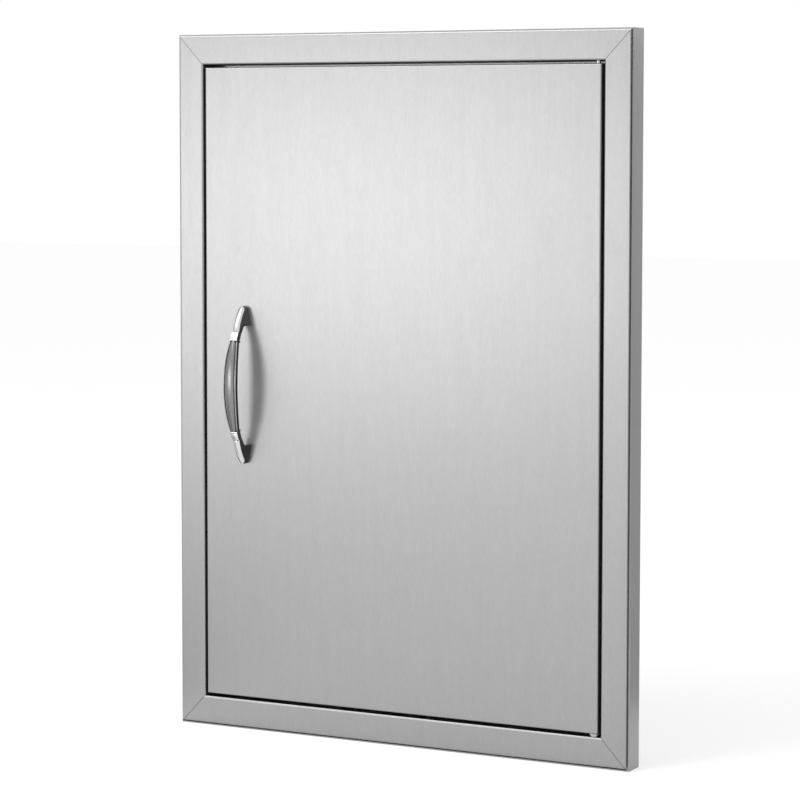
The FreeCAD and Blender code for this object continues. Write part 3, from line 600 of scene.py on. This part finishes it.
    def collar(self, name: str, sign: int, metal: bpy.types.Material) -> bpy.types.Object:
        """Collar: a soft rectangle carried along the bow, swollen to a ring beside the grip.

        Args:
            name: the piece's name.
            sign: 1 for the upper collar and -1 for the lower one.
            metal: the piece's finish.

        Returns:
            The piece.
        """
        knots = np.array([
            # distance from the grip's end, how far proud
            (0.0, 0.0), (0.1, 0.35), (0.35, 0.52), (0.9, 0.58), (1.45, 0.52), (1.8, 0.3), (2.1, -0.1),
            (2.35, -0.2), (2.6, -0.1), (2.8, 0.06), (3.2, 0.12), (5.8, 0.1), (7.8, 0.05), (8.25, -0.02),
            (8.45, -0.25), (8.7, -0.5), (9.5, -0.5),
        ])
        start = self.angle_at(self.grip_half_length)
        end = self.angle_at(self.grip_half_length + self.collar_length)
        way = np.linspace(0, self.arc_radius * (end - start), 83)[:, None]
        proud = np.interp(way, knots[:, 0], knots[:, 1])
        angle = (start + way / self.arc_radius) * sign
        loop = SoftRectangle.of(9)
        rounding = self.collar_rounding
        half_depth = self.thickness / 2
        right = loop.side * (self.collar_half_width + proud - rounding) + rounding * loop.cosine
        depth = half_depth - loop.end * (half_depth - 0.25 + proud - rounding) - rounding * loop.sine
        out, up = self.bow(angle, depth)
        return tube(name, self.place(right, out, up), metal)

    def foot_outline(self, up: np.ndarray) -> np.ndarray:
        """Half width of a post's foot on the door: straight sides that close in a round tip.

        Args:
            up: distance from the handle's middle.

        Returns:
            The half widths.
        """
        centre = self.post_half_length - self.tip_radius
        slope = (self.foot_half_width - self.tip_radius) / (centre - self.foot_start)
        straight = self.foot_half_width - slope * np.clip(up - self.foot_start, 0, centre - self.foot_start)
        rounded = np.sqrt(np.clip(self.tip_radius ** 2 - np.clip(up - centre, 0, None) ** 2, 0.01, None))
        return np.where(up > centre, rounded, straight)

    def post(self, name: str, sign: int, metal: bpy.types.Material) -> bpy.types.Object:
        """Cast post: ribs from an inner line to the front line, each a soft rectangle in section.

        The inner line follows the bow's back, falls down the foot's inner wall and runs along the door. The
        front line is the parabola through the neck, the shoulder and the blunt tip.

        Args:
            name: the piece's name.
            sign: 1 for the upper post and -1 for the lower one.
            metal: the piece's finish.

        Returns:
            The piece.
        """
        start = self.grip_half_length + self.collar_length
        start_angle = self.angle_at(start)
        start_out = float(self.bow(start_angle, 0.0)[0])
        neck_out, neck_up = (float(value) for value in self.bow(start_angle, self.thickness))
        tip = self.post_half_length
        ups = (start, self.shoulder[0], tip)
        front_curve = np.polyfit(ups, (start_out, self.shoulder[1], self.tip_height), 2)
        heel = self.foot_start
        round_start = tip - self.tip_radius
        knots = np.array([
            # share, inner up, inner out, front up, rounding of the inner edges, inner half width
            (0.00, neck_up, neck_out, start, 0.7, 3.4),
            (0.08, start, self.inner_height + 1.2, start + 1.7, 0.7, 4.0),
            (0.14, heel - 0.9, self.inner_height + 0.25, start + 3.0, 0.7, 4.4),
            (0.17, heel - 0.35, self.inner_height - 0.05, start + 3.5, 0.6, 4.6),
            (0.19, heel - 0.08, self.inner_height - 0.45, start + 3.8, 0.5, 4.7),
            (0.21, heel, self.inner_height - 1.0, start + 4.1, 0.4, 4.8),
            (0.36, heel, 0.2, start + 6.6, 0.12, 6.2),
            (0.38, heel + 0.2, 0.0, start + 7.0, 0.12, 6.2),
            (0.80, round_start, 0.0, round_start + 0.3, 0.12, 6.2),
            (0.88, round_start + 1.9, 0.0, round_start + 2.1, 0.12, 6.2),
            (0.94, tip - 0.65, 0.0, tip - 0.5, 0.12, 6.2),
            (0.98, tip - 0.15, 0.0, tip - 0.1, 0.1, 6.2),
            (1.00, tip, 0.0, tip, 0.08, 6.2),
        ])
        share = np.linspace(0, 1, 161)
        inner_up, inner_out, front_up, inner_rounding, inner_limit = (
            np.interp(share, knots[:, 0], knots[:, column])[:, None] for column in range(1, 6)
        )
        front_out = np.polyval(front_curve, front_up)
        front_half = np.minimum(self.foot_outline(front_up), self.ridge_half_width)
        inner_half = np.minimum(self.foot_outline(inner_up), inner_limit)
        length = np.hypot(front_up - inner_up, front_out - inner_out)
        loop = SoftRectangle.of(13)
        at_front = loop.end > 0
        half = np.where(at_front, front_half, inner_half)
        wanted = np.where(at_front, self.ridge_rounding, inner_rounding)
        rounding = np.minimum(wanted, half * np.where(at_front, self.front_share, self.inner_share))
        right = loop.side * (half - rounding) + rounding * loop.cosine
        along = np.where(at_front, length - rounding, rounding) + rounding * loop.sine
        part = along / length
        out = inner_out + (front_out - inner_out) * part
        up = (inner_up + (front_up - inner_up) * part) * sign
        return tube(name, self.place(right, out, up), metal)

    def build(self) -> None:
        """Build the handle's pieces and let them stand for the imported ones."""
        polished = POLISHED_CASTING.material()
        brushed = BRUSHED_GRIP.material()
        body = self.grip(SATIN_CASTING.material())
        face = self.grip_face(brushed)
        upper_collar = self.collar("handle_collar_upper", 1, polished)
        lower_collar = self.collar("handle_collar_lower", -1, polished)
        upper_post = self.post("handle_post_upper", 1, polished)
        lower_post = self.post("handle_post_lower", -1, polished)
        for piece in (body, face, upper_collar, lower_collar, upper_post, lower_post):
            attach(piece, "door")
            LOG.info("built %s with %d faces", piece.name, len(piece.data.polygons))
        for node, parts in {
            "handle_grip": (body, face),
            "handle_collars": (upper_collar, lower_collar),
            "handle_upper_post": (upper_post,),
            "handle_lower_post": (lower_post,),
        }.items():
            for piece in parts:
                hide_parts(node)


@dataclass(frozen=True)
class BoltSpring:
    """Compression spring round the hinge bolt. The real one shortens as the bolt is pulled down; this one
    is built at a single length.

    Attributes:
        wire: diameter of the wire, in millimetres.
        turns: number of turns.
        rings_per_turn: number of rings of points in a turn.
        points_per_ring: number of points round the wire.
        travel: how much the bolt's stroke shortens the spring, in millimetres. Not used.
    """

    wire: float = 0.5
    turns: int = 7
    rings_per_turn: int = 24
    points_per_ring: int = 12
    travel: float = 8.0

    def build(self) -> None:
        """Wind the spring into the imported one's box: a circle carried across a helix, at right angles."""
        low, high = (np.array(corner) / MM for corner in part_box("bolt_spring"))
        length = high[2] - low[2]
        radius = (high[0] - low[0] - self.wire) / 2
        turn = np.linspace(0, 2 * math.pi * self.turns, self.rings_per_turn * self.turns + 1)
        climb = (length - self.wire) / turn[-1]
        level = np.zeros_like(turn)
        outward = np.stack([np.cos(turn), np.sin(turn), level], axis=-1)
        onward = np.stack([-radius * np.sin(turn), radius * np.cos(turn), level + climb], axis=-1)
        onward /= np.linalg.norm(onward, axis=1, keepdims=True)
        upward = np.cross(onward, outward)
        foot = np.array([(low[0] + high[0]) / 2, (low[1] + high[1]) / 2, low[2] + self.wire / 2])
        path = foot + radius * outward + np.stack([level, level, climb * turn], axis=-1)
        around = np.linspace(0, 2 * math.pi, self.points_per_ring, endpoint=False)[None, :, None]
        ring = np.cos(around) * outward[:, None] + np.sin(around) * upward[:, None]
        points = path[:, None] + self.wire / 2 * ring
        piece = tube("bolt_spring_wire", points * MM, DRAWN_STEEL.material())
        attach(piece, "door")
        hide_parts("bolt_spring")
        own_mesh(piece)
        LOG.info("built %s with %d faces", piece.name, len(piece.data.polygons))


Triple = tuple[float, float, float]


@dataclass(frozen=True)
class Card:
    """Flat card that only metal mirrors, so that a bend or a side shows darker.

    Attributes:
        name: its name.
        corner: the corner where it starts.
        along: the step to its far end.
        across: the step over its narrow side.
        shade: how pale it is, where 1 is white.
    """

    name: str
    corner: Triple
    along: Triple
    across: Triple
    shade: float = 0.01


@dataclass(frozen=True)
class Lamp:
    """Rectangular soft lamp.

    Attributes:
        name: its name.
        place: where it stands.
        target: the point that it faces.
        size: its width and height.
        radiance: how bright its face is, where 1 shows as white.
    """

    name: str
    place: Triple
    target: Triple
    size: tuple[float, float]
    radiance: float


CARDS = (
    # Beside the right outer bend, and under the bottom one, which both are dark lines in the photograph.
    Card("standing_card", (0.2180, -0.0345, -0.0045), (0, 0, 0.609), (0.009, 0.011, 0)),
    Card("lying_card", (-0.2159, -0.0290, -0.0045), (0.4318, 0, 0), (0, 0.005, 0)),
    # Behind on the right: the frame's right side mirrors it, more at its foot than at its top.
    Card("side_card", (0.2850, 0.2300, -0.0045), (0.070, -0.030, 0.609), (0.0553, -0.0233, 0)),
    # On the floor in front on the left: the lower left of the door and of the frame mirror it.
    Card("floor_card", (-1.60, -1.62, -0.0045), (0.40, 0, 0), (0.94, 1.52, 0), 0.65),
)

LAMPS = (
    Lamp("key", (-1.22, -2.25, 0.40), (0.0, 0.0, 0.30), (0.6, 0.6), 5.5),
    Lamp("overhead", (-0.8, -1.2, 1.75), (0.0, 0.0, 0.3), (1.3, 1.1), 3.0),
)


@dataclass
class Studio:
    """Pale floor, white surroundings, soft lamps, cards and the camera.

    Attributes:
        floor_level: height of the floor, on which the frame stands.
        floor_reach: how far the floor goes to each side.
        floor_shade: how pale the floor is, where 1 is white.
        floor_glow: light that brings the floor to white where it is seen as background.
        surroundings: how bright the world is on matt things, where 1 is white.
        deep_light: how bright world and floor are after two turns between metal faces.
        camera_place: where the camera stands.
        camera_pitch: how far it looks down, in degrees.
        camera_yaw: how far it is turned about the upright axis, in degrees.
        camera_roll: how far it is tilted sideways, in degrees.
        lens: its focal length, in millimetres.
        shift_down: how far the picture is shifted down, in picture widths.
    """

    floor_level: float = -0.005
    floor_reach: float = 9.0
    floor_shade: float = 0.8
    floor_glow: float = 0.5
    surroundings: float = 0.6
    deep_light: float = 0.25
    camera_place: tuple[float, float, float] = (1.12097, -2.15461, 0.51956)
    camera_pitch: float = 4.250
    camera_yaw: float = 27.671
    camera_roll: float = -0.056
    lens: float = 128.04
    shift_down: float = 0.07

    def camera(self) -> None:
        """Camera at the photograph's place."""
        data = bpy.data.cameras.new("camera")
        data.lens = self.lens
        data.sensor_width = 36.0
        data.shift_y = -self.shift_down
        data.clip_end = 50.0
        camera = bpy.data.objects.new("camera", data)
        camera.location = self.camera_place
        turns = (90 - self.camera_pitch, self.camera_roll, self.camera_yaw)
        camera.rotation_euler = [math.radians(turn) for turn in turns]
        bpy.context.scene.collection.objects.link(camera)
        bpy.context.scene.camera = camera

    def seen_as_background(self, tree: bpy.types.NodeTree) -> bpy.types.NodeSocket:
        """Tell rays that look at the background, straight, in metal or through glass, from the others.

        Args:
            tree: the node tree that gets the nodes.

        Returns:
            One for such rays.
        """
        path = add_node(tree, "LightPath")
        seen = path.outputs["Is Camera Ray"]
        for name in ("Is Glossy Ray", "Is Transmission Ray"):
            seen = add_node(tree, "Math", {0: seen, 1: path.outputs[name]}, operation="MAXIMUM").outputs[0]
        return seen

    def after_reflection(self, tree: bpy.types.NodeTree) -> bpy.types.NodeSocket:
        """Tell rays that two metal faces have turned before they get here from the others.

        Args:
            tree: the node tree that gets the nodes.

        Returns:
            One for such rays.
        """
        turns = add_node(tree, "LightPath").outputs["Glossy Depth"]
        return add_node(tree, "Math", {0: turns, 1: DEEP_TURNS}, operation="GREATER_THAN").outputs[0]

    def world(self) -> None:
        """White surroundings, and a softer light from them on matt things and in deep reflections."""
        world = bpy.data.worlds.new("surroundings")
        bpy.context.scene.world = world
        world.use_nodes = True
        tree = world.node_tree
        tree.nodes.clear()
        seen = self.seen_as_background(tree)
        white = add_node(tree, "Background", {0: (1, 1, 1, 1), 1: 1.0})
        light = add_node(tree, "Background", {0: (1, 1, 1, 1), 1: self.surroundings})
        mixed = add_node(tree, "MixShader", {0: seen, 1: light.outputs[0], 2: white.outputs[0]})
        deep = add_node(tree, "Background", {0: (1, 1, 1, 1), 1: self.deep_light})
        depth = self.after_reflection(tree)
        whole = add_node(tree, "MixShader", {0: depth, 1: mixed.outputs[0], 2: deep.outputs[0]})
        add_node(tree, "OutputWorld", {0: whole.outputs[0]})

    def sheet(self, name: str, points: np.ndarray, shade: float, glow: float = 0.0) -> bpy.types.Object:
        """Open sheet of the studio, from a grid of points.

        Args:
            name: its name.
            points: rows x columns x 3.
            shade: how pale it is, in linear light, where 1 is white.
            glow: how much it lights up for rays that look at the background. With any glow, it is also
                dimmed to the deep light after two turns between metal faces.

        Returns:
            The staged object.
        """
        rows, columns = points.shape[:2]
        i, j = np.meshgrid(np.arange(rows - 1), np.arange(columns - 1), indexing="ij")
        corner = i * columns + j
        faces = np.stack([corner, corner + columns, corner + columns + 1, corner + 1], axis=-1)
        mesh = bpy.data.meshes.new(name)
        mesh.from_pydata(points.reshape(-1, 3).tolist(), [], faces.reshape(-1, 4).tolist())
        material = bpy.data.materials.new(name + "_finish")
        material.use_nodes = True
        tree = material.node_tree
        tree.nodes.clear()
        surface = add_node(tree, "BsdfDiffuse", {"Color": (shade, shade, shade, 1.0)}).outputs[0]
        if glow:
            light = add_node(tree, "Emission", {"Color": (1, 1, 1, 1), "Strength": glow})
            lit = add_node(tree, "AddShader", {0: surface, 1: light.outputs[0]})
            seen = self.seen_as_background(tree)
            near = add_node(tree, "MixShader", {0: seen, 1: surface, 2: lit.outputs[0]})
            dim = add_node(tree, "BsdfDiffuse", {"Color": (self.deep_light,) * 3 + (1.0,)})
            depth = self.after_reflection(tree)
            inputs = {0: depth, 1: near.outputs[0], 2: dim.outputs[0]}
            surface = add_node(tree, "MixShader", inputs).outputs[0]
        add_node(tree, "OutputMaterial", {"Surface": surface})
        mesh.materials.append(material)
        piece = bpy.data.objects.new(name, mesh)
        bpy.context.scene.collection.objects.link(piece)
        return piece

    def floor(self) -> None:
        """White floor that keeps the shadow."""
        line = np.linspace(-self.floor_reach, self.floor_reach, 3)
        x, y = np.meshgrid(line, line, indexing="ij")
        level = np.full_like(x, self.floor_level)
        self.sheet("floor", np.stack([x, y, level], axis=-1), self.floor_shade, self.floor_glow)

    def stand_card(self, card: Card) -> None:
        """Set up a card and hide it from every ray but the glossy ones.

        Args:
            card: its place, size and shade.
        """
        corner, along, across = (np.array(value) for value in (card.corner, card.along, card.across))
        points = np.array([[corner, corner + across], [corner + along, corner + along + across]])
        piece = self.sheet(card.name, points, card.shade)
        for ray in ("camera", "diffuse", "shadow", "transmission", "volume_scatter"):
            setattr(piece, "visible_" + ray, False)

    def hang_lamp(self, design: Lamp) -> None:
        """Set up a lamp, turned to its target.

        Args:
            design: its place, target, size and radiance.
        """
        data = bpy.data.lights.new(design.name, "AREA")
        data.shape = "RECTANGLE"
        data.size, data.size_y = design.size
        data.energy = design.radiance * math.pi * design.size[0] * design.size[1]
        lamp = bpy.data.objects.new(design.name, data)
        way = np.subtract(design.target, design.place)
        lamp.location = design.place
        lamp.rotation_euler = (
            math.atan2(math.hypot(way[0], way[1]), -way[2]),
            0,
            math.atan2(-way[0], way[1]),
        )
        bpy.context.scene.collection.objects.link(lamp)

    def build(self) -> None:
        """Set up the camera, the surroundings, the cards and the lamps."""
        self.camera()
        self.world()
        self.floor()
        for card in CARDS:
            self.stand_card(card)
        for design in LAMPS:
            self.hang_lamp(design)
        bpy.context.scene.view_settings.view_transform = "Standard"
        LOG.info("studio ready")


def main() -> None:
    """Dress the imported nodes, build the handle and the bolt's spring, and set up the studio."""
    logging.basicConfig(level=logging.INFO, format="%(message)s")
    dress_nodes()
    PullHandle().build()
    BoltSpring().build()
    Studio().build()


if __name__ == "__main__":
    main()
